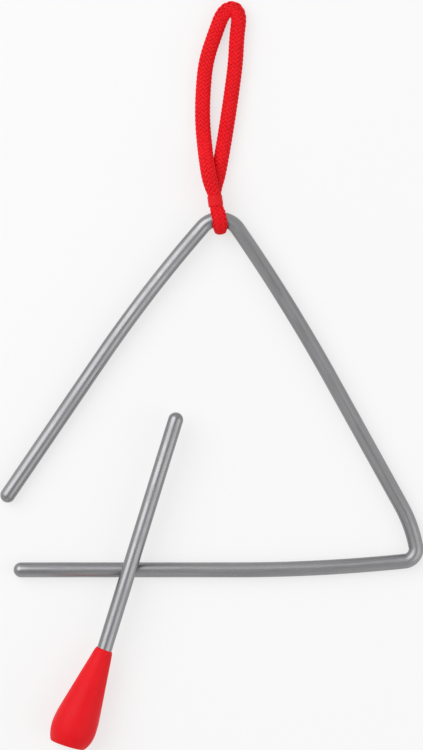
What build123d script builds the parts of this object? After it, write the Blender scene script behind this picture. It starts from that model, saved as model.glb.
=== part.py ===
from build123d import *
import os
from math import acos, asin, atan2, cos, degrees, hypot, pi, radians, sin, sqrt, tan

# A triangle lying flat on a table with its hanging loop and its beater.
# X runs to the right along the base bar, Y from the base to the apex, Z up from the table.
# Lengths are in millimetres and angles in degrees.

# Bent bar of the triangle, walked from the free end of the base round to the free end of the open leg
rod_diameter = 6.5
base_straight = 93.6
base_bow_radius = 697.0
base_bow_angle = 5.95
corner_radius = 5.4
corner_angle = 94.75
foot_bow_radius = 59.0
foot_bow_angle = 18.3
side_straight = 62.0
side_bow_radius = 773.0
side_bow_angle = 5.7
apex_radius = 9.6
apex_angle = 104.15
open_bow_radius = 604.0
open_bow_angle = 6.85
open_straight = 71.1

# Cord of the hanging loop, squeezed into a flat band where it goes round the bar
cord_diameter = 6.5
band_width = 6.2
band_thickness = 2.4
band_edge_share = 0.48
seat_clearance = 0.3
strand_gap = 0.1

# Sleeve that holds the two strands together above the bar
sleeve_length = 4.5
sleeve_wall = 0.5
sleeve_edge = 0.2
squeezed_width = 5.4
squeezed_height = 5.9
neck_room = 0.5
neck_shift = 1.5
neck_lean = 8.0

# Route of the free loop, after a straight run out of the sleeve and before the like run back into it:
# right and up from the seat on the bar, and lift of the cord off the table
neck_run = 4.3
loop_route = [
    (-5.0, 20.8, 6.2),
    (-6.4, 31.5, 0.0),
    (-7.4, 43.0, 0.0),
    (-7.1, 56.0, 0.0),
    (-5.8, 69.0, 0.0),
    (-1.5, 81.6, 0.0),
    (-0.4, 89.5, 0.0),
    (5.0, 91.5, 0.0),
    (9.2, 87.6, 0.0),
    (7.6, 79.5, 0.0),
    (7.0, 68.0, 0.0),
    (5.3, 55.0, 0.0),
    (3.4, 42.0, 0.0),
    (1.4, 30.0, 0.0),
    (-0.2, 21.0, 0.0),
]
bend_share = 0.45

# Beater: a straight rod laid across the base bar, with its tang inside the grip
beater_diameter = 6.5
beater_exposed = 106.7
beater_reach = 71.2
beater_heading = -107.26
cross_place = 46.7
cross_clearance = 0.2
tang_length = 34.0
tang_chamfer = 0.6
groove_count = 3
groove_width = 2.4
groove_depth = 0.5
groove_pitch = 7.0
groove_start = 9.0

# Moulded grip, its axis canted to the rod and its end square to the rod
grip_length = 44.3
grip_cant = 4.0
mouth_wall = 0.55
mouth_edge = 0.4
belly_diameter = 19.5
belly_setback = 8.0
belly_curve = 37.6
end_diameter = 14.9
end_edge = 1.2

rod_radius = rod_diameter / 2
cord_radius = cord_diameter / 2
beater_radius = beater_diameter / 2
belly_radius = belly_diameter / 2
belly_place = grip_length - belly_setback


def bend_on(edge, radius, turn):
    return JernArc(edge @ 1, edge % 1, radius, turn)


def run_on(edge, length):
    return Line(edge @ 1, edge @ 1 + (edge % 1) * length)


def sagitta(radius, half_chord):
    return radius - sqrt(radius ** 2 - half_chord ** 2)


def round_end(point, outward, radius):
    flat_down = (Align.CENTER, Align.CENTER, Align.MIN)
    return Plane(point, z_dir=outward) * Sphere(radius, arc_size1=0, align=flat_down)


# Path of the bar in its own plane, with the free end of the base at the origin
base_bar = Line((0, 0), (base_straight, 0))
base_bow = bend_on(base_bar, base_bow_radius, base_bow_angle)
corner_bend = bend_on(base_bow, corner_radius, corner_angle)
foot_bow = bend_on(corner_bend, foot_bow_radius, foot_bow_angle)
side_bar = run_on(foot_bow, side_straight)
side_bow = bend_on(side_bar, side_bow_radius, side_bow_angle)
apex_bend = bend_on(side_bow, apex_radius, apex_angle)
open_bow = bend_on(apex_bend, open_bow_radius, open_bow_angle)
open_bar = run_on(open_bow, open_straight)

# Seat of the cord at the top of the apex bend, where the bar runs along X
turn_to_apex = base_bow_angle + corner_angle + foot_bow_angle + side_bow_angle
seat_share = (180 - turn_to_apex) / apex_angle
seat = apex_bend @ seat_share

# The cord passes under the bar at the seat, so the bar lies tilted about its base
band_edge = band_thickness * band_edge_share
band_flat = band_width - 2 * band_edge
inner_bend = apex_radius - rod_radius
band_touch = (band_flat + band_edge) / 2
seat_room = seat_clearance + sagitta(inner_bend, band_touch) - sagitta(band_edge, band_edge / 2)
seat_height = band_thickness + seat_room + rod_radius
lay_tilt = degrees(asin((seat_height - rod_radius) / seat.Y))
lay = Pos(0, 0, rod_radius) * Rot(lay_tilt, 0, 0)
seat_place = Vector(seat.X, seat.Y * cos(radians(lay_tilt)), seat_height)


def triangle_rod():
    path = Curve() + [base_bar, base_bow, corner_bend, foot_bow, side_bar]
    path += [side_bow, apex_bend, open_bow, open_bar]
    bar = sweep(Plane(base_bar @ 0, z_dir=base_bar % 0) * Circle(rod_radius), path=path)
    bar += round_end(base_bar @ 0, -(base_bar % 0), rod_radius)
    bar += round_end(open_bar @ 1, open_bar % 1, rod_radius)
    return lay * bar


# Neck of the hanger: the sleeve's foot, its axis and the two strands stacked inside it
wrap_radius = rod_radius + seat_room + band_thickness / 2
stack_half = squeezed_height + strand_gap / 2
neck_height = max(seat_height, cord_diameter + strand_gap / 2, stack_half + sleeve_wall)
neck_axis = Vector(-sin(radians(neck_lean)), cos(radians(neck_lean)), 0)
neck_side = Vector(cos(radians(neck_lean)), sin(radians(neck_lean)), 0)
neck_foot = Vector(seat_place.X - neck_shift, seat_place.Y + wrap_radius + neck_room, neck_height)
neck_head = neck_foot + neck_axis * sleeve_length
squeezed_rise = Vector(0, 0, (squeezed_height + strand_gap) / 2)
strand_rise = Vector(0, 0, (cord_diameter + strand_gap) / 2)
squeezed_edge = min(squeezed_width, squeezed_height) * band_edge_share


def leave_angle(rise):
    reach = neck_foot.Y - seat_place.Y
    return degrees(atan2(rise, reach) + acos(wrap_radius / hypot(reach, rise)))


def band_section(angle):
    turn = radians(angle)
    centre = seat_place + Vector(0, cos(turn), sin(turn)) * wrap_radius
    plane = Plane(centre, x_dir=(1, 0, 0), z_dir=(0, -sin(turn), cos(turn)))
    return plane * RectangleRounded(band_width, band_thickness, band_edge)


def squeezed_section(point, direction):
    plane = Plane(point, x_dir=neck_side, z_dir=direction)
    return plane * RectangleRounded(squeezed_width, squeezed_height, squeezed_edge)


# Half turn round the bar, its two legs and the two strands inside the sleeve
def hanger_bight():
    neck_offset = neck_height - seat_height
    upper_angle = leave_angle(squeezed_rise.Z + neck_offset)
    lower_angle = leave_angle(squeezed_rise.Z - neck_offset)
    upper_band = band_section(upper_angle)
    lower_band = band_section(-lower_angle)
    upper_foot = squeezed_section(neck_foot + squeezed_rise, -neck_axis)
    lower_foot = squeezed_section(neck_foot - squeezed_rise, neck_axis)
    wrap_axis = Axis(seat_place, (1, 0, 0))
    bight = revolve(upper_band, axis=wrap_axis, revolution_arc=360 - upper_angle - lower_angle)
    bight += loft([upper_foot, upper_band])
    bight += loft([lower_band, lower_foot])
    bight += extrude(upper_foot, -sleeve_length)
    bight += extrude(lower_foot, sleeve_length)
    return bight


def neck_sleeve():
    inner_height = 2 * stack_half
    outer_width = squeezed_width + 2 * sleeve_wall
    outer_height = inner_height + 2 * sleeve_wall
    plane = Plane(neck_foot, x_dir=neck_side, z_dir=neck_axis)
    outer = plane * RectangleRounded(outer_width, outer_height, squeezed_edge + sleeve_wall)
    inner = plane * RectangleRounded(squeezed_width, inner_height, squeezed_edge)
    sleeve = extrude(outer, sleeve_length)
    for end in (0, -1):
        face = sleeve.faces().sort_by(Axis(neck_foot, neck_axis))[end]
        sleeve = fillet(face.edges(), sleeve_edge)
    return sleeve - extrude(inner, sleeve_length)


# Free loop: straight runs joined by tangent arcs, from the upper strand's mouth round to the lower one's
def hanger_loop():
    upper_mouth = neck_head + strand_rise
    lower_mouth = neck_head - strand_rise
    points = [upper_mouth, upper_mouth + neck_axis * neck_run]
    points += [Vector(seat_place.X + x, seat_place.Y + y, cord_radius + lift) for x, y, lift in loop_route]
    points += [lower_mouth + neck_axis * neck_run, lower_mouth]
    radii = []
    for before, here, after in zip(points, points[1:], points[2:]):
        half_angle = radians((here - before).get_angle(after - here)) / 2
        shorter = min((here - before).length, (after - here).length)
        radii.append(bend_share * shorter / tan(half_angle))
    path = FilletPolyline(*points, radius=radii)
    tube = sweep(Plane(path @ 0, z_dir=path % 0) * Circle(cord_radius), path=path)
    plain_volume = pi * cord_radius ** 2 * path.length
    print("loop bend radii", [round(r, 1) for r in radii])
    print(f"loop length {path.length:.1f}, volume over section times length {tube.volume / plain_volume:.4f}")
    return tube


# The beater's own frame: X along the rod from the tip to the grip, origin where it crosses the base
mouth_place = beater_exposed - beater_reach
belly_reach = mouth_place + belly_place * cos(radians(grip_cant))
cross_height = rod_diameter + cross_clearance + beater_radius
beater_pitch = degrees(asin((cross_height - belly_radius) / belly_reach))
beater_lay = Pos(cross_place, 0, cross_height) * Rot(0, 0, beater_heading) * Rot(0, beater_pitch, 0)
rod_axis = Axis((0, 0, 0), (1, 0, 0))


def beater_rod_blank():
    tip = -beater_reach
    tang_end = mouth_place + tang_length
    nose = ThreePointArc(
        (tip, 0),
        (tip + beater_radius * (1 - cos(radians(45))), beater_radius * sin(radians(45))),
        (tip + beater_radius, beater_radius),
    )
    edge = [(tip + beater_radius, beater_radius)]
    for i in range(groove_count):
        start = mouth_place + groove_start + i * groove_pitch
        floor = beater_radius - groove_depth
        edge += [(start, beater_radius), (start, floor)]
        edge += [(start + groove_width, floor), (start + groove_width, beater_radius)]
    edge += [(tang_end - tang_chamfer, beater_radius), (tang_end, beater_radius - tang_chamfer)]
    edge += [(tang_end, 0), (tip, 0)]
    return revolve(make_face([nose, Polyline(*edge)]), axis=rod_axis)


# Grip: a cone from the mouth, tangent to a round belly that closes to a flat end
def beater_grip_blank():
    mouth_radius = beater_radius + mouth_wall
    belly_centre = belly_radius - belly_curve
    away = hypot(belly_place, belly_centre - mouth_radius)
    taper = degrees(atan2(belly_centre - mouth_radius, belly_place) + asin(belly_curve / away))
    belly = CenterArc((belly_place, belly_centre), belly_curve, 90 + taper, -taper)
    cone = Line((0, mouth_radius), belly @ 0)
    end_drop = belly_radius - end_diameter / 2
    end_curve = (belly_setback ** 2 + end_drop ** 2) / (2 * end_drop)
    longest_reach = belly_setback + belly_radius * tan(radians(grip_cant))
    close_angle = degrees(asin(longest_reach / end_curve))
    close = CenterArc((belly_place, belly_radius - end_curve), end_curve, 90, -close_angle)
    rim = Polyline(close @ 1, (belly_place + longest_reach, 0), (0, 0), (0, mouth_radius))
    body = revolve(make_face([cone, belly, close, rim]), axis=rod_axis)
    end_way = (cos(radians(grip_cant)), sin(radians(grip_cant)), 0)
    body = split(body, bisect_by=Plane((grip_length, 0, 0), z_dir=end_way), keep=Keep.BOTTOM)
    mouth_face = body.faces().sort_by(Axis.X)[0]
    body = fillet(mouth_face.edges(), mouth_edge)
    end_face = body.faces().sort_by(Axis.X)[-1]
    body = fillet(end_face.edges(), end_edge)
    return Pos(mouth_place, 0, 0) * Rot(0, 0, -grip_cant) * body


rod_blank = beater_rod_blank()
pieces = {
    "triangle_rod": triangle_rod(),
    "hanger_bight": hanger_bight(),
    "neck_sleeve": neck_sleeve(),
    "hanger_loop": hanger_loop(),
    "beater_rod": beater_lay * rod_blank,
    "beater_grip": beater_lay * (beater_grip_blank() - rod_blank),
}

# The origin is on the table under the middle of the rigid pieces
rigid_box = pieces["triangle_rod"].bounding_box()
for name in ("beater_rod", "beater_grip"):
    rigid_box = rigid_box.add(pieces[name].bounding_box())
middle = rigid_box.center()
home = Pos(-middle.X, -middle.Y, 0)

os.makedirs("parts", exist_ok=True)
for name, piece in pieces.items():
    placed = home * piece
    export_step(placed, f"parts/{name}.step")
    box = placed.bounding_box()
    print(f"{name}: {placed.volume:.1f} mm3, from {box.min} to {box.max}")

leg_end = home * lay * Pos(open_bar @ 1)
print("seat", (home * Pos(seat_place)).position, "tilt", round(lay_tilt, 3))
print("open leg end", leg_end.position)
print("sleeve head", (home * Pos(neck_head)).position, "base end", (home * Pos(0, 0, rod_radius)).position)
print("crossing", (home * Pos(cross_place, 0, cross_height)).position, "pitch", round(beater_pitch, 3))
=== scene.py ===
from math import atan2, asin, cos, hypot, pi, radians, sin, sqrt
import bpy
import numpy as np
from mathutils import Matrix, Vector


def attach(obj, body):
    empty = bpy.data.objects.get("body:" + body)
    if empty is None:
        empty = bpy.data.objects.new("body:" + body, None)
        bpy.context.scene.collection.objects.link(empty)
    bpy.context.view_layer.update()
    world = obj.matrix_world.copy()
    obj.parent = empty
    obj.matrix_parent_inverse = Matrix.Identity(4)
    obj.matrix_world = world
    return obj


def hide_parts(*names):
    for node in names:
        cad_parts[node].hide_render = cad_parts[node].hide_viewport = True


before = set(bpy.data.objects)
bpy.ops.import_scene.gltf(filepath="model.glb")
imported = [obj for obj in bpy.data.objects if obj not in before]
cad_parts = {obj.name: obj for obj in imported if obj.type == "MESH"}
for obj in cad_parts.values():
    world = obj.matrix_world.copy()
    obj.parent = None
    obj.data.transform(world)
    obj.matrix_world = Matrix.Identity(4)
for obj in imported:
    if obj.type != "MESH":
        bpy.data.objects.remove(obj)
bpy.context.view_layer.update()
scene = bpy.context.scene
scene.view_settings.view_transform = "Standard"
mm = 0.001

# Camera straight above the table, with the apex at the top of the picture
overheadView = {
    "lens": 200.0,
    "film": 36.0,  # long side of the picture on the film
    "tall": 0.324,  # table from the top to the bottom of the picture
    "centre": (-0.0002, 0.04555),  # spot of the table under the lens
    "level": 0.004,  # height where that span holds
}


def hangCamera(view):
    data = bpy.data.cameras.new("overheadCamera")
    data.lens = view["lens"]
    data.sensor_width = view["film"]
    data.clip_end = 30.0
    camera = bpy.data.objects.new("overheadCamera", data)
    camera.location = (*view["centre"], view["level"] + view["tall"] * view["lens"] / view["film"])
    scene.collection.objects.link(camera)
    scene.camera = camera


hangCamera(overheadView)
print("camera: straight down,", overheadView["tall"], "m of table in the picture")


# Meshes: every piece here is a stack of rings, alone or many together
def ringFaces(count, sides, joined):
    i = np.arange(count if joined else count - 1)[:, None]
    j = np.arange(sides)[None, :]
    after, beside = (i + 1) % count, (j + 1) % sides
    corners = [i * sides + j, i * sides + beside, after * sides + beside, after * sides + j]
    return np.stack(corners, -1).reshape(-1, 4)


def ringLay(along, around, joined):
    # place of each face corner on the unrolled surface, in millimetres
    ahead = np.append(along[1:], 2 * along[-1] - along[-2]) if joined else along[1:]
    here = along if joined else along[:-1]
    rows, sides = len(here), len(around) - 1
    u0, u1 = np.repeat(here, sides), np.repeat(ahead, sides)
    v0, v1 = np.tile(around[:-1], rows), np.tile(around[1:], rows)
    return np.stack([np.stack(pair, -1) for pair in ((u0, v0), (u0, v1), (u1, v1), (u1, v0))], 1)


# Second map of a piece, for baking: its stacks are unrolled on shelves of one square, and long
# ones are folded into rows
bakeMap = {
    "name": "OFBake",
    "sideGutter": 0.004,  # share of a row left free at its ends
    "rowGutter": 0.04,  # and at its edges
}


def bakeShelves(stacks):
    sides = [np.linalg.norm(np.roll(rings, -1, 1) - rings, axis=2) for rings, *_ in stacks]
    girths = [lengths.sum(1).mean() / mm for lengths in sides]
    total = sum(girths)
    longest = max(along[-1] - along[0] for _, along, *_ in stacks)
    depths = np.array(girths) / total
    return max(1, round(sqrt(longest / total))), np.cumsum(depths) - depths, depths


def foldedLay(lay, sides, folds, shelf, depth):
    steps = len(lay) // sides
    row = np.repeat(np.arange(steps) * folds // steps, sides)
    u, v = lay[..., 0], lay[..., 1]
    low = np.array([u[row == r].min() for r in range(folds)])[row][:, None]
    high = np.array([u[row == r].max() for r in range(folds)])[row][:, None]
    side, edge = bakeMap["sideGutter"], bakeMap["rowGutter"]
    along = side + (1 - 2 * side) * (u - low) / (high - low)
    around = edge + (1 - 2 * edge) * (v - v.min()) / (v.max() - v.min())
    return np.stack([along, shelf + depth * (row[:, None] + around) / folds], -1)


def stackMesh(name, stacks, layName):
    # a stack is its rings, the place along and around in millimetres, whether its last ring joins
    # its first, and its material
    places, faces, marks, start = [], [], [], 0
    maps = {layName: [], bakeMap["name"]: []}
    folds, shelves, depths = bakeShelves(stacks)
    for (rings, along, around, joined, slot), shelf, depth in zip(stacks, shelves, depths):
        count, sides = rings.shape[:2]
        quads = ringFaces(count, sides, joined) + start
        places.append(rings.reshape(-1, 3))
        faces += quads.tolist()
        marks += [slot] * len(quads)
        if not joined:
            first = np.arange(sides) + start
            faces += [first[::-1].tolist(), (first + (count - 1) * sides).tolist()]
            marks += [slot, slot]
        lay = ringLay(along, around, joined)
        for corners, spots in zip((lay, foldedLay(lay, sides, folds, shelf, depth)), maps.values()):
            spots.append(corners.reshape(-1, 2))
            if not joined:
                spots += [corners[:sides, 0][::-1], corners[-sides:, 3]]
        start += count * sides
    mesh = bpy.data.meshes.new(name)
    mesh.from_pydata(np.concatenate(places).tolist(), [], faces)
    for label, spots in maps.items():
        layer = mesh.uv_layers.new(name=label)
        layer.data.foreach_set("uv", np.concatenate(spots).astype(np.float32).ravel())
    mesh.polygons.foreach_set("material_index", marks)
    mesh.shade_smooth()
    mesh.update()
    return mesh


def addPiece(name, mesh, body, nodes):
    piece = bpy.data.objects.new(name, mesh)
    scene.collection.objects.link(piece)
    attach(piece, body)
    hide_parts(*nodes)
    return piece


def unit(rows):
    return rows / np.linalg.norm(rows, axis=-1, keepdims=True)


def averaged(rows, count):
    # each row becomes the mean of the rows round it
    padded = np.pad(rows, ((count // 2, count // 2), (0, 0)), mode="edge")
    share = np.ones(count) / count
    return np.stack([np.convolve(column, share, mode="valid") for column in padded.T], -1)


def ovalRings(middles, acrosses, ups, spin):
    turned = acrosses[:, None, :] * np.cos(spin)[None, :, None]
    return middles[:, None, :] + turned + ups[:, None, :] * np.sin(spin)[None, :, None]


def placedRings(rings, place):
    place = np.array(place)
    return rings @ place[:3, :3].T + place[:3, 3]


# Section of a squeezed cord or sleeve: rectangle with round corners, walked by shares of its outline
def roundedOutline(wide, tall, corner, share, oval=0.0):
    rise, arc = tall / 2 - corner, pi * corner / 2
    quarter = rise + arc + wide / 2 - corner
    walk = (share % 1.0) * 4
    quadrant = np.floor(walk).astype(int) % 4
    step = walk - np.floor(walk)
    step = np.where(quadrant % 2 == 1, 1 - step, step) * quarter
    swing = np.clip((step - rise) / corner, 0, pi / 2)
    onSide, onArc = step < rise, step < rise + arc
    across = np.where(onSide, wide / 2, wide / 2 - corner + corner * np.cos(swing))
    across = np.where(onArc, across, wide / 2 - corner - (step - rise - arc))
    up = np.where(onSide, step, rise + corner * np.sin(swing))
    flipX = np.where((quadrant == 1) | (quadrant == 2), -1, 1)
    flipY = np.where(quadrant >= 2, -1, 1)
    x, z = across * flipX, up * flipY
    around = np.arctan2(z / tall, x / wide)
    x = x + oval * (np.cos(around) * wide / 2 - x)
    z = z + oval * (np.sin(around) * tall / 2 - z)
    return x, z, np.cos(swing) * flipX, np.sin(swing) * flipY


# Cord: one length of red braid, from inside the sleeve round the bar, through the sleeve, round the
# loop and back into the sleeve
hangingCord = {
    "diameter": 0.0065,
    "length": 0.2071,
    "seat": (0.0032366, 0.1127552, 0.0063188),  # middle of the bar under the cord
    "foot": (0.0017366, 0.1183741, 0.00655),  # lower end of the sleeve
    "neck": (-0.1391731, 0.9902681, 0.0),  # way the sleeve points
    "sleeve": 0.0045,  # length of the sleeve
    "squeezedRise": 0.003,  # strands above and below the sleeve's axis
    "endsIn": (0.0021, 0.0024),  # how far the two ends reach into the sleeve
    "mouthRun": 0.0043,  # from the sleeve to the next point of a strand
    "strandRise": 0.0033,
    "strandSpread": 0.001,  # the strands part to the left and right as they come out
    "bight": [  # across, along and up from the seat, under the bar first
        (0.0001, 0.00024, -0.00583),
        (0.0005, -0.00505, -0.0032),
        (0.0005, -0.00538, 0.00285),
        (0.0002, -0.0001, 0.00603),
    ],
    "loop": [  # across and along from the seat, and lift off the table
        (-0.0050, 0.0208, 0.0062),
        (-0.0064, 0.0315, 0.0),
        (-0.0074, 0.0430, 0.0),
        (-0.0071, 0.0560, 0.0),
        (-0.0058, 0.0690, 0.0),
        (-0.0014, 0.0816, 0.0),
        (0.0016, 0.0896, 0.0),
        (0.0061, 0.0918, 0.0),
        (0.0087, 0.0880, 0.0),
        (0.0075, 0.0795, 0.0),
        (0.0070, 0.0680, 0.0),
        (0.0053, 0.0550, 0.0),
        (0.0034, 0.0420, 0.0),
        (0.0014, 0.0300, 0.0),
        (-0.0002, 0.0210, 0.0),
    ],
    "round": (0.0067, 0.0067, 0.00335, 0.0),  # width, height, corner and ovalness of the free cord
    "squeezed": (0.0054, 0.0059, 0.00259, 0.0),
    "band": (0.0065, 0.0024, 0.00115, 0.0),  # flat under the bar
    "front": (0.0052, 0.0030, 0.00145, 1.0),  # drawn together in front of it
    "oval": (0.0067, 0.0029, 0.0014, 1.0),  # and wide again over it
    "barReach": 0.0027,  # past the bar's middle, where the way round it starts and ends
    "roundBar": [  # section at a share of that way
        (0.0, "band"), (0.28, "band"), (0.42, "front"), (0.54, "front"), (0.70, "oval"), (1.02, "oval"),
    ],
    "easing": 0.008,  # way out of the sleeve until it is round
    "blend": 5,  # steps over which a change of section is spread
    "carriers": 12,  # yarns each way round
    "pitch": 0.022,  # one turn of a yarn
    "yarnThick": 0.00055,
    "yarnSides": 8,
    "cover": 1.03,  # a little wider than the room for each yarn
    "floatEase": 0.15,  # how softly a yarn goes over and under
    "coreInset": 0.0003,
    "coreSides": 20,
    "spanSteps": 40,  # steps read from the spline between two points
    "step": 0.0005,
}


def cordPoints(cord):
    seat, foot, neck = (Vector(cord[key]) for key in ("seat", "foot", "neck"))
    head = foot + neck * cord["sleeve"]
    mouth = head + neck * cord["mouthRun"]
    squeezed = Vector((0, 0, cord["squeezedRise"]))
    strand = Vector((-cord["strandSpread"], 0, cord["strandRise"]))
    radius = cord["round"][1] / 2
    firstIn, lastIn = cord["endsIn"]
    points = [foot + neck * firstIn - squeezed, foot - squeezed]
    points += [seat + Vector(place) for place in cord["bight"]]
    points += [foot + squeezed, head + squeezed, mouth + strand]
    points += [Vector((seat.x + x, seat.y + y, radius + lift)) for x, y, lift in cord["loop"]]
    points += [mouth - strand, head - squeezed, foot + neck * lastIn - squeezed]
    return points


def readSpline(name, points, perSpan):
    curve = bpy.data.curves.new(name, "CURVE")
    curve.dimensions = "3D"
    curve.resolution_u = perSpan
    spline = curve.splines.new("NURBS")
    spline.points.add(len(points) - 1)
    for knot, place in zip(spline.points, points):
        knot.co = (*place, 1.0)
    spline.order_u = 3
    spline.use_endpoint_u = True
    holder = bpy.data.objects.new(name, curve)
    scene.collection.objects.link(holder)
    bpy.context.view_layer.update()
    line = bpy.data.meshes.new_from_object(holder)
    places = np.array([v.co for v in line.vertices], float)
    bpy.data.objects.remove(holder)
    bpy.data.curves.remove(curve)
    bpy.data.meshes.remove(line)
    return places


def evenSteps(places, step):
    gone = np.append(0, np.cumsum(np.linalg.norm(np.diff(places, axis=0), axis=1)))
    marks = np.linspace(0, gone[-1], int(round(gone[-1] / step)) + 1)
    return marks, np.stack([np.interp(marks, gone, places[:, i]) for i in range(3)], -1)


def carriedSides(ways, side):
    sides = []
    for way in ways:
        side = side - way * np.dot(side, way)
        side = side / np.linalg.norm(side)
        sides.append(side)
    return np.array(sides)


def cordSections(cord, marks, places):
    y, foot = places[:, 1], cord["foot"][1]
    head = foot + cord["sleeve"] * cord["neck"][1]
    onBar = np.where(y < cord["seat"][1] + cord["barReach"])[0]
    footIn = np.where(y < foot)[0][0]
    footOut = onBar[-1] + np.where(y[onBar[-1]:] > foot)[0][0]
    headOut = footOut + np.where(y[footOut:] > head)[0][0]
    headIn = np.where(y > head)[0][-1]
    barStart, barRun = marks[onBar[0]], marks[onBar[-1]] - marks[onBar[0]]
    keys = [(0, "squeezed"), (marks[footIn], "squeezed")]
    keys += [(barStart + share * barRun, section) for share, section in cord["roundBar"]]
    keys += [(marks[footOut], "squeezed"), (marks[headOut], "squeezed")]
    keys += [(marks[headOut] + cord["easing"], "round"), (marks[headIn] - cord["easing"], "round")]
    keys += [(marks[headIn], "squeezed"), (marks[-1], "squeezed")]
    at = [key[0] for key in keys]
    sizes = np.stack([np.interp(marks, at, [cord[key[1]][i] for key in keys]) for i in range(4)], -1)
    return averaged(sizes, cord["blend"])


def braidedCord(cord):
    line = readSpline("cordRoute", cordPoints(cord), cord["spanSteps"])
    marks, places = evenSteps(line, cord["step"])
    ways = unit(np.gradient(places, axis=0))
    sides = carriedSides(ways, np.array([1.0, 0.0, 0.0]))
    ups = np.cross(ways, sides)
    thick, carriers = cord["yarnThick"], cord["carriers"]
    sizes = cordSections(cord, marks, places)
    wide, tall, corner, oval = (sizes - np.array([2, 2, 1, 0]) * thick).T  # middle of the braid's wall
    girth = 2 * (wide + tall) - 8 * corner + 2 * pi * corner
    lean = np.cos(np.arctan(girth / cord["pitch"]))
    yarnWide = girth / carriers * lean * cord["cover"]
    yarnSides, ease = cord["yarnSides"], cord["floatEase"]
    spin = np.linspace(0, 2 * pi, yarnSides, endpoint=False)
    around = np.arange(yarnSides + 1) / yarnSides
    stacks = []
    for hand in (1, -1):
        for k in range(carriers):
            share = hand * marks / cord["pitch"] + k / carriers
            x, z, nx, nz = roundedOutline(wide, tall, corner, share, oval)
            beat = np.cos(pi * (2 * carriers * share - 0.5) / 2)  # over two yarns, under two
            lift = hand * beat / np.sqrt(beat ** 2 + ease) * sqrt(1 + ease) * thick / 2
            outward = unit(sides * nx[:, None] + ups * nz[:, None])
            middle = places + sides * x[:, None] + ups * z[:, None] + outward * lift[:, None]
            run = unit(np.gradient(middle, axis=0))
            flank = unit(np.cross(outward, run))
            crown = np.cross(run, flank)
            rings = ovalRings(middle, flank * (yarnWide / 2)[:, None], crown * thick / 2, spin)
            index = k + (carriers if hand < 0 else 0)
            stacks.append((rings, marks / mm, index + around, False, 0))
    coreSides, inset = cord["coreSides"], cord["coreInset"]
    share = np.arange(coreSides)[None, :] / coreSides
    shape = [value[:, None] for value in (wide - 2 * inset, tall - 2 * inset, corner - inset)]
    x, z, _, _ = roundedOutline(*shape, share, oval[:, None])
    rings = places[:, None, :] + sides[:, None, :] * x[:, :, None] + ups[:, None, :] * z[:, :, None]
    stacks.append((rings, marks / mm, np.arange(coreSides + 1) / coreSides, False, 1))
    print("cord: centreline", round(marks[-1], 4), "m,", len(stacks) - 1, "yarns on a core")
    return stackMesh("hangingCord", stacks, "yarnLay"), places


cordMesh, cordLine = braidedCord(hangingCord)
cordPiece = addPiece("hangingCord", cordMesh, "hanger", ["hanger_bight", "hanger_loop"])


# Sleeve: a short shrink sleeve over the two strands, taut between them
shrinkSleeve = {
    "wide": 0.0064,
    "tall": 0.0129,
    "corner": 0.00309,
    "wall": 0.0005,
    "sides": 64,
    "girth": 34.0,  # round it, in millimetres
    "waist": 0.00022,  # how far it draws in between the strands
    "waistTall": 0.0012,
    "profile": [  # share of the length, share of the wall from the outside
        (0.000, 0.80), (0.000, 0.45), (0.018, 0.17), (0.060, 0.02), (0.14, 0.0), (0.32, 0.0), (0.5, 0.0),
        (0.68, 0.0), (0.86, 0.0), (0.94, 0.02), (0.982, 0.17), (1.0, 0.45), (1.0, 0.80), (0.97, 1.0),
        (0.5, 1.0), (0.03, 1.0),
    ],
}


def sleeveMesh(sleeve, cord):
    foot, neck = np.array(cord["foot"]), np.array(cord["neck"])
    side, up = np.array([neck[1], -neck[0], 0.0]), np.array([0.0, 0.0, -1.0])
    share = np.arange(sleeve["sides"]) / sleeve["sides"]
    rings = []
    for place, inset in sleeve["profile"]:
        into = inset * sleeve["wall"]
        wide, tall = sleeve["wide"] - 2 * into, sleeve["tall"] - 2 * into
        x, z, _, _ = roundedOutline(wide, tall, sleeve["corner"] - into, share)
        fade = sin(pi * place) ** 0.5 * (inset < 0.99)  # the ends and the bore stay as they are
        x = x - np.sign(x) * sleeve["waist"] * np.exp(-(z / sleeve["waistTall"]) ** 2) * fade
        rings.append(foot + neck * place * cord["sleeve"] + side * x[:, None] + up * z[:, None])
    spans = np.abs(np.diff(np.array(sleeve["profile"]), axis=0))
    along = np.append(0, np.cumsum(spans @ np.array([cord["sleeve"], sleeve["wall"]]))) / mm
    around = np.arange(sleeve["sides"] + 1) / sleeve["sides"] * sleeve["girth"]
    return stackMesh("neckSleeve", [(np.array(rings), along, around, True, 0)], "skinLay")


neckMesh = sleeveMesh(shrinkSleeve, hangingCord)
sleevePiece = addPiece("neckSleeve", neckMesh, "hanger", ["neck_sleeve"])
print("hanger: cord and sleeve in place")


# Bent bar: walked from the free end of the base round to the free end of the open leg
bentBar = {
    "radius": 0.00325,
    "walk": [  # length of a straight run, or radius and angle of a bend
        (0.0936,), (0.697, 5.95), (0.0054, 94.75), (0.059, 18.3), (0.062,),
        (0.773, 5.7), (0.0096, 104.15), (0.604, 6.85), (0.0711,),
    ],
    "start": (-0.0824751, -0.0386481, 0.00325),
    "tilt": 1.16118,  # the cord under the apex lifts it
    "sides": 48,
    "longest": 0.004,  # longest step along the bar
    "finest": 3.0,  # and the largest turn of a step, in degrees
    "squash": 0.022,  # how much a tight bend flattens the bar
    "tightBend": 0.0054,  # radius that flattens it in full
    "blend": 7,  # steps over which that starts and ends
    "capSteps": 12,
}


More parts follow.
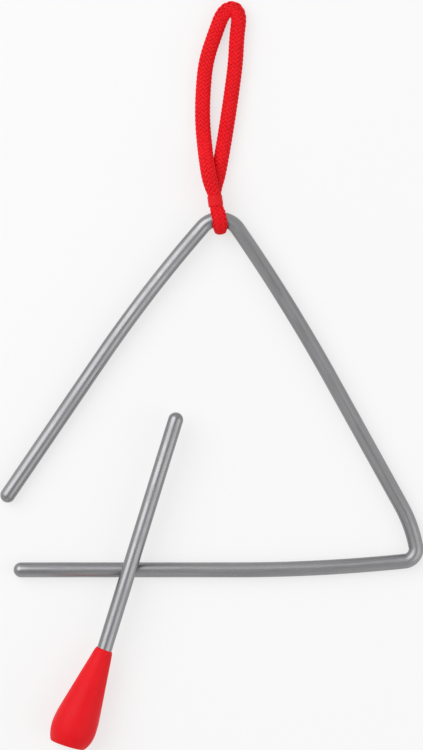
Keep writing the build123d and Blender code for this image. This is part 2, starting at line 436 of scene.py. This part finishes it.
def walkedBar(bar):
    place, heading = np.zeros(2), 0.0
    places, headings, bends = [place], [heading], [0.0]
    for stretch in bar["walk"]:
        turn = radians(stretch[1]) if len(stretch) > 1 else 0.0
        long = stretch[0] * turn if turn else stretch[0]
        count = int(max(np.ceil(long / bar["longest"]), np.ceil(abs(turn) / radians(bar["finest"]))))
        for _ in range(count):
            chord = long / count if not turn else 2 * stretch[0] * sin(turn / count / 2)
            middle = heading + turn / count / 2
            place = place + chord * np.array([cos(middle), sin(middle)])
            heading += turn / count
            places.append(place)
            headings.append(heading)
            bends.append(min(1.0, bar["tightBend"] / stretch[0]) if turn else 0.0)
    return np.array(places), np.array(headings), np.array(bends)


def bentBarMesh(bar):
    places, headings, bends = walkedBar(bar)
    bends = averaged(bends[:, None], bar["blend"])[:, 0]
    ways = np.stack([np.cos(headings), np.sin(headings), 0 * headings], -1)
    lefts = np.stack([-np.sin(headings), np.cos(headings), 0 * headings], -1)
    middles = np.column_stack([places, np.zeros(len(places))])
    radii = np.full(len(places), bar["radius"])
    cap = np.radians(np.linspace(88.0, 8.0, bar["capSteps"]))  # round ends
    first = middles[0] - ways[0] * bar["radius"] * np.sin(cap)[:, None]
    last = middles[-1] + ways[-1] * bar["radius"] * np.sin(cap[::-1])[:, None]
    middles = np.concatenate([first, middles, last])
    radii = np.concatenate([bar["radius"] * np.cos(cap), radii, bar["radius"] * np.cos(cap[::-1])])
    lefts = np.concatenate([np.repeat(lefts[:1], len(cap), 0), lefts, np.repeat(lefts[-1:], len(cap), 0)])
    bends = np.pad(bends, len(cap))
    spin = -pi / 2 + np.arange(bar["sides"]) / bar["sides"] * 2 * pi  # seam underneath
    up = np.array([0.0, 0.0, 1.0])
    inPlane, offPlane = radii * (1 - bar["squash"] * bends), radii * (1 + 0.5 * bar["squash"] * bends)
    rings = ovalRings(middles, lefts * inPlane[:, None], up * offPlane[:, None], spin)
    lay = Matrix.Translation(bar["start"]) @ Matrix.Rotation(radians(bar["tilt"]), 4, "X")
    rings = placedRings(rings, lay)
    along = np.append(0, np.cumsum(np.linalg.norm(np.diff(middles, axis=0), axis=1))) / mm
    around = np.arange(bar["sides"] + 1) / bar["sides"] * 2 * pi * bar["radius"] / mm
    return stackMesh("bentBar", [(rings, along, around, False, 0)], "barLay")


barPiece = addPiece("bentBar", bentBarMesh(bentBar), "triangle", ["triangle_rod"])
print("bar:", len(barPiece.data.polygons), "faces")


# Turned pieces of the beater, on the rod's axis from the tip to the grip
def turnedRings(profile, spin, swell=None):
    profile = np.array(profile)
    out = np.repeat(profile[:, 1][:, None], len(spin), 1)
    if swell is not None:
        out = out + swell(profile[:, 0][:, None], profile[:, 1][:, None], spin[None, :])
    x = np.repeat(profile[:, 0][:, None], len(spin), 1)
    return np.stack([x, out * np.cos(spin), out * np.sin(spin)], -1)


def turnedLay(profile, spin, radius):
    gone = np.append(0, np.cumsum(np.linalg.norm(np.diff(np.array(profile), axis=0), axis=1)))
    return gone / mm, np.append(spin - spin[0], 2 * pi) * radius / mm


beaterLay = {
    "crossing": (-0.0357751, -0.0386481, 0.00995),  # where it lies over the base
    "heading": -107.26,
    "pitch": 0.1598,
    "reach": 0.0712,  # from the crossing to the tip
    "mouth": 0.0355,  # from the crossing to the grip
}
beaterPlace = Matrix.Translation(beaterLay["crossing"])
beaterPlace = beaterPlace @ Matrix.Rotation(radians(beaterLay["heading"]), 4, "Z")
beaterPlace = beaterPlace @ Matrix.Rotation(radians(beaterLay["pitch"]), 4, "Y")

beaterRod = {
    "radius": 0.00325,
    "tang": 0.034,  # length inside the grip
    "chamfer": 0.0006,
    "grooves": (0.009, 0.016, 0.023),  # from the mouth, hidden in the grip
    "grooveWide": 0.0024,
    "grooveDeep": 0.0005,
    "grooveDraft": 0.00001,  # lean of a groove's walls
    "endDot": 0.0002,  # radius where the end closes
    "sides": 48,
}


def beaterRodMesh(rod, lay):
    radius, tip = rod["radius"], -lay["reach"]
    profile = [(tip + radius * (1 - cos(a)), radius * sin(a)) for a in np.radians(np.linspace(2, 90, 14))]
    profile += [(x, radius) for x in np.linspace(tip + radius, lay["mouth"], 28)[1:]]
    for start in rod["grooves"]:
        near, far = lay["mouth"] + start, lay["mouth"] + start + rod["grooveWide"]
        floor, draft = radius - rod["grooveDeep"], rod["grooveDraft"]
        profile += [(near, radius), (near + draft, floor), (far - draft, floor), (far, radius)]
    end = lay["mouth"] + rod["tang"]
    profile += [(end - rod["chamfer"], radius), (end, radius - rod["chamfer"]), (end, rod["endDot"])]
    spin = -pi / 2 + np.arange(rod["sides"]) / rod["sides"] * 2 * pi
    rings = placedRings(turnedRings(profile, spin), beaterPlace)
    return stackMesh("beaterRod", [(rings, *turnedLay(profile, spin, radius), False, 0)], "barLay")


rodMesh = beaterRodMesh(beaterRod, beaterLay)
rodPiece = addPiece("beaterRod", rodMesh, "beater", ["beater_rod"])

# Grip: a moulded teardrop, canted on the rod, with the mould's parting line and the gate's mark
mouldedGrip = {
    "length": 0.0443,
    "cant": 4.0,
    "mouthRadius": 0.0038,
    "mouthEdge": (0.0018, 0.00044),  # rounding along the grip and across its wall
    "bore": 0.00328,
    "boreDeep": 0.005,  # how much of the bore is made
    "boreEdge": 0.0001,
    "bellyRadius": 0.00975,
    "setback": 0.008,  # belly to flat end
    "bellyCurve": 0.0376,
    "endRadius": 0.00745,
    "endEdge": 0.0012,
    "dish": 0.0005,  # hollow of the flat end
    "gate": 0.0011,  # radius of the gate's mark
    "gateHigh": 0.0002,
    "gateEdge": 0.0001,
    "parting": radians(24),  # the mould's halves meet here and opposite
    "flash": 0.00011,
    "flashWide": 0.00025,
    "flashEnds": (0.0002, 0.0003),  # left free at the mouth and at the flat end
    "sides": 64,
    "seamSides": (0.0125, 0.025, 0.05, 0.09),  # finer sides to both hands of the parting line
    "offSeam": 0.02,
    "layRadius": 0.008,
}


def gripProfile(grip):
    belly = grip["length"] - grip["setback"]
    centre = grip["bellyRadius"] - grip["bellyCurve"]
    mouth = grip["mouthRadius"]
    away = hypot(belly, centre - mouth)
    taper = atan2(centre - mouth, belly) + asin(grip["bellyCurve"] / away)
    touch = (belly - grip["bellyCurve"] * sin(taper), centre + grip["bellyCurve"] * cos(taper))
    bore, nick = grip["bore"], grip["boreEdge"]
    profile = [(grip["boreDeep"], bore), (4 * nick, bore)]
    profile += [(0.6 * nick, bore + 0.6 * nick), (0.0, bore + nick)]
    slope = (touch[1] - mouth) / touch[0]
    lipLong, lipDeep = grip["mouthEdge"]
    for a in np.linspace(0.1, 1.4, 8):
        x = lipLong * (1 - cos(a))
        profile.append((x, mouth + slope * x - lipDeep * (1 - sin(a))))
    for share in np.linspace(0.075, 1.0, 26):
        profile.append((touch[0] * share, mouth + (touch[1] - mouth) * share))
    for a in np.linspace(taper, 0, 22)[1:]:
        profile.append((belly - grip["bellyCurve"] * sin(a), centre + grip["bellyCurve"] * cos(a)))
    drop = grip["bellyRadius"] - grip["endRadius"]
    curve = (grip["setback"] ** 2 + drop ** 2) / (2 * drop)
    low = grip["bellyRadius"] - curve
    edge = grip["endEdge"]
    edgeX = grip["length"] - edge
    edgeY = low + sqrt((curve - edge) ** 2 - (edgeX - belly) ** 2)
    meet = atan2(edgeX - belly, edgeY - low)
    for a in np.linspace(0, meet, 16)[1:]:
        profile.append((belly + curve * sin(a), low + curve * cos(a)))
    for a in np.linspace(meet, pi / 2, 10)[1:]:
        profile.append((edgeX + edge * sin(a), edgeY + edge * cos(a)))
    rim, gate = edgeY, grip["gate"]
    for r in np.linspace(rim, gate, 12)[1:]:  # shallow hollow, smooth from the rim
        profile.append((grip["length"] - grip["dish"] * sin(pi / 2 * (rim - r) / (rim - gate)) ** 2, r))
    top, side = grip["length"] - grip["dish"] + grip["gateHigh"], grip["gateEdge"]
    profile += [(top, gate - side), (top + 0.2 * grip["gateHigh"], gate - 3 * side), (top, side)]
    return profile


def gripMesh(grip, lay):
    near = np.array([0.0, *grip["seamSides"], *(-side for side in grip["seamSides"])])
    seams = [grip["parting"], grip["parting"] + pi]
    even = np.arange(grip["sides"]) / grip["sides"] * 2 * pi + grip["parting"] + grip["offSeam"]
    spin = np.concatenate([even] + [seam + near for seam in seams]) % (2 * pi)
    spin = np.unique(np.round(spin, 4))

    def swell(x, r, a):
        apart = np.minimum.reduce([np.abs((a - seam + pi) % (2 * pi) - pi) for seam in seams]) * r
        atMouth, atEnd = grip["flashEnds"]
        outside = (r > grip["mouthRadius"] + atMouth) & (x < grip["length"] - atEnd)
        return grip["flash"] * np.exp(-(apart / grip["flashWide"]) ** 2) * outside

    profile = gripProfile(grip)
    rings = turnedRings(profile, spin, swell)
    for i in range(2):  # the bore runs on the rod's axis
        rings[i, :, 1] += profile[i][0] * sin(radians(grip["cant"]))
    belly = grip["length"] - grip["setback"]
    pastBelly = np.clip((rings[:, :, 0] - belly) / grip["setback"], 0, 1)  # and the end is square to it
    rings[:, :, 0] -= pastBelly ** 2 * rings[:, :, 1] * sin(radians(grip["cant"]))
    place = beaterPlace @ Matrix.Translation((lay["mouth"], 0, 0))
    place = place @ Matrix.Rotation(-radians(grip["cant"]), 4, "Z")
    rings = placedRings(rings, place)
    unrolled = turnedLay(profile, spin, grip["layRadius"])
    return stackMesh("mouldedGrip", [(rings, *unrolled, False, 0)], "skinLay")


gripPiece = addPiece("mouldedGrip", gripMesh(mouldedGrip, beaterLay), "beater", ["beater_grip"])
print("beater: rod and grip in place")


# Shader helpers
def plug(tree, socket, value):
    if isinstance(value, bpy.types.NodeSocket):
        tree.links.new(value, socket)
    else:
        socket.default_value = value


def put(tree, kind, plugs=(), **choices):
    node = tree.nodes.new(kind)
    for key, value in choices.items():
        setattr(node, key, value)
    for key, value in dict(plugs).items():
        plug(tree, node.inputs[key], value)
    return node


def maths(tree, operation, a, b=0.0):
    return put(tree, "ShaderNodeMath", {0: a, 1: b}, operation=operation).outputs[0]


def weighed(tree, *pairs):
    parts = [maths(tree, "MULTIPLY", value, weight) for value, weight in pairs]
    total = parts[0]
    for part in parts[1:]:
        total = maths(tree, "ADD", total, part)
    return total


def spanned(tree, value, low, high, toLow=0.0, toHigh=1.0):
    plugs = {"Value": value, "From Min": low, "From Max": high, "To Min": toLow, "To Max": toHigh}
    return put(tree, "ShaderNodeMapRange", plugs, interpolation_type="SMOOTHSTEP").outputs["Result"]


def mixed(tree, share, a, b):
    node = put(tree, "ShaderNodeMix", {"Factor": share}, data_type="RGBA")
    plug(tree, node.inputs[6], a)
    plug(tree, node.inputs[7], b)
    return node.outputs[2]


def startGroup(name, inputs, outputs):
    group = bpy.data.node_groups.new(name, "ShaderNodeTree")
    for label, value in inputs:
        kind = "NodeSocketVector" if value is None else "NodeSocketFloat"
        socket = group.interface.new_socket(label, in_out="INPUT", socket_type=kind)
        if value is not None:
            socket.default_value = value
    for label in outputs:
        group.interface.new_socket(label, in_out="OUTPUT", socket_type="NodeSocketFloat")
    return group, group.nodes.new("NodeGroupInput").outputs, group.nodes.new("NodeGroupOutput").inputs


def useGroup(tree, group, plugs):
    node = tree.nodes.new("ShaderNodeGroup")
    node.node_tree = group
    for key, value in plugs.items():
        plug(tree, node.inputs[key], value)
    return node.outputs


def stretchedNoise(tree, place, along, across, deep, detail, rough):
    parts = put(tree, "ShaderNodeSeparateXYZ", {0: place}).outputs
    x, y, z = (maths(tree, "DIVIDE", part, size) for part, size in zip(parts, (along, across, deep)))
    spot = put(tree, "ShaderNodeCombineXYZ", {0: x, 1: y, 2: z}).outputs[0]
    plugs = {"Vector": spot, "Scale": 1.0, "Detail": detail, "Roughness": rough}
    return put(tree, "ShaderNodeTexNoise", plugs).outputs[0]


def evenNoise(tree, place, size, detail, rough):
    return stretchedNoise(tree, place, size, size, size, detail, rough)


# Lines left along the bar by the drawing die
def drawnLinesGroup():
    inputs = [("Lay", None), ("Run", 30.0), ("Gap", 0.3)]
    group, take, give = startGroup("drawnLines", inputs, ["Lines", "Bands"])
    lines = stretchedNoise(group, take["Lay"], take["Run"], take["Gap"], 1.0, 3.0, 0.6)
    longer = maths(group, "MULTIPLY", take["Run"], 2.0)
    wider = maths(group, "MULTIPLY", take["Gap"], 6.0)
    bands = stretchedNoise(group, take["Lay"], longer, wider, 1.0, 2.0, 0.5)
    plug(group, give["Lines"], lines)
    plug(group, give["Bands"], bands)
    return group


# Smudges, scratches and specks from handling and striking, at any place in millimetres
def handlingMarksGroup():
    inputs = [("Place", None), ("Patch", 12.0), ("Scratch Gap", 0.5)]
    group, take, give = startGroup("handlingMarks", inputs, ["Smudge", "Scratch", "Speck"])
    smudge = evenNoise(group, take["Place"], take["Patch"], 3.0, 0.55)
    masks = []
    for turn in ((0.3, 0.5, 0.7), (0.9, -0.4, -0.8), (-0.5, 0.2, 2.1)):
        turned = put(group, "ShaderNodeMapping", {"Vector": take["Place"], "Rotation": turn}).outputs[0]
        long = maths(group, "MULTIPLY", take["Scratch Gap"], 22.0)
        noise = stretchedNoise(group, turned, long, take["Scratch Gap"], take["Scratch Gap"], 1.0, 0.4)
        masks.append(spanned(group, noise, 0.70, 0.76))
    scratch = maths(group, "MAXIMUM", maths(group, "MAXIMUM", masks[0], masks[1]), masks[2])
    cells = put(group, "ShaderNodeTexVoronoi", {"Vector": take["Place"], "Scale": 0.55, "Randomness": 1.0})
    plug(group, give["Smudge"], spanned(group, smudge, 0.36, 0.66))
    plug(group, give["Scratch"], scratch)
    plug(group, give["Speck"], spanned(group, cells.outputs[0], 0.10, 0.03))
    return group


# Uneven dye or pigment, and the fine skin of a moulding
def unevenSkinGroup():
    inputs = [("Place", None), ("Cloud", 9.0), ("Grain", 0.16)]
    group, take, give = startGroup("unevenSkin", inputs, ["Cloud", "Grain", "Dimple"])
    cloud = evenNoise(group, take["Place"], take["Cloud"], 4.0, 0.6)
    grain = evenNoise(group, take["Place"], take["Grain"], 2.0, 0.5)
    wide = maths(group, "MULTIPLY", take["Grain"], 7.0)
    dimple = evenNoise(group, take["Place"], wide, 2.0, 0.5)
    plug(group, give["Cloud"], spanned(group, cloud, 0.3, 0.7))
    plug(group, give["Grain"], grain)
    plug(group, give["Dimple"], dimple)
    return group


# Fibres of a braid's yarn, and painted shade towards its flanks: its lay is millimetres along, and the
# yarn's number plus the share round it
def yarnFibresGroup():
    inputs = [("Lay", None), ("Fibre", 0.09), ("Twist", 0.35)]
    group, take, give = startGroup("yarnFibres", inputs, ["Fibre", "Painted Flank Shade", "Dye"])
    along, way = put(group, "ShaderNodeSeparateXYZ", {0: take["Lay"]}).outputs[:2]
    number, share = maths(group, "FLOOR", way), maths(group, "FRACT", way)
    slant = maths(group, "MULTIPLY", along, maths(group, "MULTIPLY", take["Twist"], 0.3))
    across = maths(group, "ADD", share, slant)
    apart = maths(group, "MULTIPLY", number, 7.31)  # so that each yarn has its own fibres
    spot = put(group, "ShaderNodeCombineXYZ", {0: along, 1: across, 2: apart}).outputs[0]
    fibre = stretchedNoise(group, spot, 2.2, take["Fibre"], 1.0, 2.0, 0.6)
    # painted shade: the yarn turns darker away from its crown towards its flanks, where its neighbours shade
    # it
    off = maths(group, "ABSOLUTE", maths(group, "SUBTRACT", share, 0.25))
    near = maths(group, "MINIMUM", off, maths(group, "SUBTRACT", 1.0, off))
    dye = put(group, "ShaderNodeTexWhiteNoise", {"W": number}, noise_dimensions="1D").outputs["Value"]
    plug(group, give["Fibre"], fibre)
    plug(group, give["Painted Flank Shade"], spanned(group, near, 0.13, 0.27))
    plug(group, give["Dye"], dye)
    return group


drawnLines, handlingMarks = drawnLinesGroup(), handlingMarksGroup()
unevenSkin, yarnFibres = unevenSkinGroup(), yarnFibresGroup()


def startMaterial(name):
    material = bpy.data.materials.new(name)
    material.use_nodes = True
    tree = material.node_tree
    shader = tree.nodes["Principled BSDF"]
    return material, tree, shader


def millimetrePlace(tree):
    place = put(tree, "ShaderNodeTexCoord").outputs["Object"]
    return put(tree, "ShaderNodeVectorMath", {0: place, "Scale": 1000.0}, operation="SCALE").outputs[0]


def bumped(tree, shader, height, deep):
    bump = put(tree, "ShaderNodeBump", {"Height": height, "Distance": deep, "Strength": 1.0})
    plug(tree, shader.inputs["Normal"], bump.outputs["Normal"])


barSteel = {
    "dark": (0.222, 0.221, 0.228, 1),
    "light": (0.316, 0.314, 0.322, 1),
    "worn": (0.46, 0.456, 0.46, 1),
    "rough": (0.27, 0.43),
    "run": 34.0,  # length of the drawn lines and the room between them, in millimetres
    "gap": 0.34,
    "deep": 0.000012,
    "patch": 16.0,
    "smudge": 0.25,
    "scratchGap": 0.16,
    "bared": (0.2, 0.75),  # share of the scratches seen anywhere, and more where it is struck
    "strike": (18.0, 46.0, 120.0, 160.0),  # where the beater falls, along the bar
}
rodSteel = {
    "dark": (0.218, 0.217, 0.224, 1),
    "light": (0.312, 0.310, 0.318, 1),
    "worn": (0.45, 0.446, 0.45, 1),
    "rough": (0.25, 0.40),
    "run": 46.0,
    "gap": 0.28,
    "deep": 0.000010,
    "patch": 16.0,
    "smudge": 0.25,
    "scratchGap": 0.14,
    "bared": (0.2, 0.75),
    "strike": (4.0, 20.0, 70.0, 95.0),
}


def steelMaterial(name, steel):
    material, tree, shader = startMaterial(name)
    lay = put(tree, "ShaderNodeUVMap", uv_map="barLay").outputs[0]
    place = millimetrePlace(tree)
    drawn = useGroup(tree, drawnLines, {"Lay": lay, "Run": steel["run"], "Gap": steel["gap"]})
    handled = {"Place": place, "Patch": steel["patch"], "Scratch Gap": steel["scratchGap"]}
    marks = useGroup(tree, handlingMarks, handled)
    along = put(tree, "ShaderNodeSeparateXYZ", {0: lay}).outputs[0]
    begin, full, easing, end = steel["strike"]
    struck = maths(tree, "MULTIPLY", spanned(tree, along, begin, full), spanned(tree, along, end, easing))
    anywhere, more = steel["bared"]
    bared = maths(tree, "ADD", maths(tree, "MULTIPLY", struck, more), anywhere)
    scratch = maths(tree, "MULTIPLY", marks["Scratch"], bared)
    tone = weighed(tree, (drawn["Bands"], 0.6), (drawn["Lines"], 0.4))
    colour = mixed(tree, spanned(tree, tone, 0.3, 0.7), steel["dark"], steel["light"])
    colour = mixed(tree, maths(tree, "MULTIPLY", marks["Smudge"], steel["smudge"]), colour, steel["dark"])
    colour = mixed(tree, scratch, colour, steel["worn"])
    dull = weighed(tree, (tone, 0.6), (marks["Smudge"], 0.4))
    height = maths(tree, "SUBTRACT", drawn["Lines"], maths(tree, "MULTIPLY", scratch, 0.5))
    height = maths(tree, "SUBTRACT", height, maths(tree, "MULTIPLY", marks["Speck"], 0.7))
    plug(tree, shader.inputs["Base Color"], colour)
    plug(tree, shader.inputs["Roughness"], spanned(tree, dull, 0.2, 0.85, *steel["rough"]))
    shader.inputs["Metallic"].default_value = 1.0
    bumped(tree, shader, height, steel["deep"])
    return material


cordRed = {
    "bright": (0.92, 0.012, 0.020, 1),
    "deep": (0.80, 0.008, 0.014, 1),
    # painted shade for the flanks of each yarn; the core also uses it as the darker tone of its grain
    "flank": (0.58, 0.005, 0.009, 1),
    "rough": (0.62, 0.82),
    "fibre": 0.07,  # share of a yarn's girth
    "fibreDeep": 0.00003,
    "twist": 0.5,
    "cloud": 14.0,
    "grain": 0.3,
    "sheen": 0.06,
    "sheenRough": 0.45,
    "sheenTint": (1.0, 0.12, 0.12, 1),
    "gloss": 0.15,
    "core": (0.50, 0.005, 0.008, 1),
    "coreRough": (0.75, 0.9),
    "coreCloud": 5.0,
    "coreGrain": 0.2,
}


def yarnMaterial(red):
    material, tree, shader = startMaterial("redYarn")
    lay = put(tree, "ShaderNodeUVMap", uv_map="yarnLay").outputs[0]
    place = millimetrePlace(tree)
    fibres = useGroup(tree, yarnFibres, {"Lay": lay, "Fibre": red["fibre"], "Twist": red["twist"]})
    skin = useGroup(tree, unevenSkin, {"Place": place, "Cloud": red["cloud"], "Grain": red["grain"]})
    tone = weighed(tree, (fibres["Fibre"], 0.55), (fibres["Dye"], 0.2), (skin["Cloud"], 0.2))
    colour = mixed(tree, spanned(tree, tone, 0.2, 0.7), red["deep"], red["bright"])
    # painted shade on the flanks of each yarn
    colour = mixed(tree, maths(tree, "MULTIPLY", fibres["Painted Flank Shade"], 0.5), colour, red["flank"])
    plug(tree, shader.inputs["Base Color"], colour)
    plug(tree, shader.inputs["Roughness"], spanned(tree, fibres["Fibre"], 0.25, 0.75, *red["rough"]))
    shader.inputs["Sheen Weight"].default_value = red["sheen"]
    shader.inputs["Sheen Roughness"].default_value = red["sheenRough"]
    shader.inputs["Sheen Tint"].default_value = red["sheenTint"]
    shader.inputs["Specular IOR Level"].default_value = red["gloss"]
    bumped(tree, shader, fibres["Fibre"], red["fibreDeep"])
    return material


def coreMaterial(red):
    material, tree, shader = startMaterial("redCore")
    place = millimetrePlace(tree)
    skin = useGroup(tree, unevenSkin, {"Place": place, "Cloud": red["coreCloud"], "Grain": red["coreGrain"]})
    plug(tree, shader.inputs["Base Color"], mixed(tree, skin["Grain"], red["core"], red["flank"]))
    plug(tree, shader.inputs["Roughness"], spanned(tree, skin["Grain"], 0.3, 0.7, *red["coreRough"]))
    return material


sleeveSkin = {
    "bright": (0.82, 0.011, 0.017, 1),
    "deep": (0.74, 0.008, 0.013, 1),
    "scuffed": (0.86, 0.06, 0.06, 1),
    "rough": (0.46, 0.60),
    "cloud": 3.5,
    "grain": 0.22,
    "deepness": 0.000035,
    "patch": 8.0,
    "scratchGap": 0.22,
    "scuff": 0.25,
    "gloss": 0.15,
}
gripSkin = {
    "bright": (0.86, 0.009, 0.016, 1),
    "deep": (0.79, 0.006, 0.012, 1),
    "scuffed": (0.87, 0.05, 0.05, 1),
    "rough": (0.42, 0.56),
    "cloud": 16.0,
    "grain": 0.20,
    "deepness": 0.000028,
    "patch": 8.0,
    "scratchGap": 0.22,
    "scuff": 0.22,
    "gloss": 0.15,
}


def skinMaterial(name, skin):
    material, tree, shader = startMaterial(name)
    place = millimetrePlace(tree)
    uneven = useGroup(tree, unevenSkin, {"Place": place, "Cloud": skin["cloud"], "Grain": skin["grain"]})
    handled = {"Place": place, "Patch": skin["patch"], "Scratch Gap": skin["scratchGap"]}
    marks = useGroup(tree, handlingMarks, handled)
    colour = mixed(tree, uneven["Cloud"], skin["deep"], skin["bright"])
    rubbed = maths(tree, "MULTIPLY", marks["Scratch"], marks["Smudge"])
    scuff = maths(tree, "MULTIPLY", rubbed, skin["scuff"])
    colour = mixed(tree, scuff, colour, skin["scuffed"])
    plug(tree, shader.inputs["Base Color"], colour)
    tone = weighed(tree, (marks["Smudge"], 0.6), (uneven["Grain"], 0.4))
    plug(tree, shader.inputs["Roughness"], spanned(tree, tone, 0.1, 0.8, *skin["rough"]))
    shader.inputs["Specular IOR Level"].default_value = skin["gloss"]
    height = maths(tree, "ADD", uneven["Grain"], maths(tree, "MULTIPLY", uneven["Dimple"], 0.8))
    height = maths(tree, "SUBTRACT", height, maths(tree, "MULTIPLY", scuff, 1.5))
    bumped(tree, shader, height, skin["deepness"])
    return material


def dress(piece, *materials):
    piece.data.materials.clear()
    for material in materials:
        piece.data.materials.append(material)


dress(barPiece, steelMaterial("barSteel", barSteel))
dress(rodPiece, steelMaterial("rodSteel", rodSteel))
dress(cordPiece, yarnMaterial(cordRed), coreMaterial(cordRed))
dress(sleevePiece, skinMaterial("sleeveSkin", sleeveSkin))
dress(gripPiece, skinMaterial("gripSkin", gripSkin))
print("materials: steel, yarn, sleeve and grip")

# Table and light
studio = {
    "table": 4.0,  # half its width
    "tableDrop": 0.00002,  # just clear of the pieces
    "tableTone": (0.88, 0.88, 0.88, 1),
    "paper": 0.66,  # share of plain white in what the lens and the metal see of the table
    "ambient": 0.48,
    "zenith": 0.7,  # tone overhead that the metal sees
    "aim": (0.0, 0.045, 0.0),
    "lamps": [  # name, place, width, watts
        ("keyLamp", (-0.75, 0.55, 1.05), 1.5, 12.0),
        ("fillLamp", (0.95, -0.25, 0.85), 1.3, 4.1),
    ],
}


def seenShare(tree):
    path = put(tree, "ShaderNodeLightPath").outputs
    seen = maths(tree, "MAXIMUM", path["Is Camera Ray"], path["Is Glossy Ray"])
    return maths(tree, "MAXIMUM", seen, path["Is Transmission Ray"])


def layTable(cfg):
    half = cfg["table"]
    mesh = bpy.data.meshes.new("tableTop")
    corners = [(-half, -half, 0), (half, -half, 0), (half, half, 0), (-half, half, 0)]
    mesh.from_pydata(corners, [], [(0, 1, 2, 3)])
    table = bpy.data.objects.new("tableTop", mesh)
    table.location.z = -cfg["tableDrop"]
    scene.collection.objects.link(table)
    material, tree, shader = startMaterial("palePaper")
    shader.inputs["Base Color"].default_value = cfg["tableTone"]
    shader.inputs["Roughness"].default_value = 0.9
    shader.inputs["Specular IOR Level"].default_value = 0.1
    glow = put(tree, "ShaderNodeEmission", {"Color": (1, 1, 1, 1), "Strength": 1.0})
    share = maths(tree, "MULTIPLY", seenShare(tree), cfg["paper"])
    both = put(tree, "ShaderNodeMixShader", {0: share, 1: shader.outputs[0], 2: glow.outputs[0]})
    plug(tree, tree.nodes["Material Output"].inputs["Surface"], both.outputs[0])
    mesh.materials.append(material)


def lightStudio(cfg):
    world = bpy.data.worlds.new("studioWorld")
    scene.world = world
    world.use_nodes = True
    tree = world.node_tree
    tree.nodes.clear()
    way = put(tree, "ShaderNodeTexCoord").outputs["Generated"]
    height = put(tree, "ShaderNodeSeparateXYZ", {0: way}).outputs[2]
    overhead = spanned(tree, height, 0.15, 0.95, 1.0, cfg["zenith"])
    seen = put(tree, "ShaderNodeBackground", {"Color": (1, 1, 1, 1), "Strength": overhead})
    soft = put(tree, "ShaderNodeBackground", {"Color": (1, 1, 1, 1), "Strength": cfg["ambient"]})
    both = put(tree, "ShaderNodeMixShader", {0: seenShare(tree), 1: soft.outputs[0], 2: seen.outputs[0]})
    put(tree, "ShaderNodeOutputWorld", {"Surface": both.outputs[0]})
    for name, place, width, watts in cfg["lamps"]:
        data = bpy.data.lights.new(name, "AREA")
        data.shape = "DISK"
        data.size = width
        data.energy = watts
        lamp = bpy.data.objects.new(name, data)
        lamp.location = place
        aim = Vector(cfg["aim"]) - Vector(place)
        lamp.rotation_euler = aim.to_track_quat("-Z", "Y").to_euler()
        scene.collection.objects.link(lamp)


layTable(studio)
lightStudio(studio)
print("studio: table and", len(studio["lamps"]), "lamps")
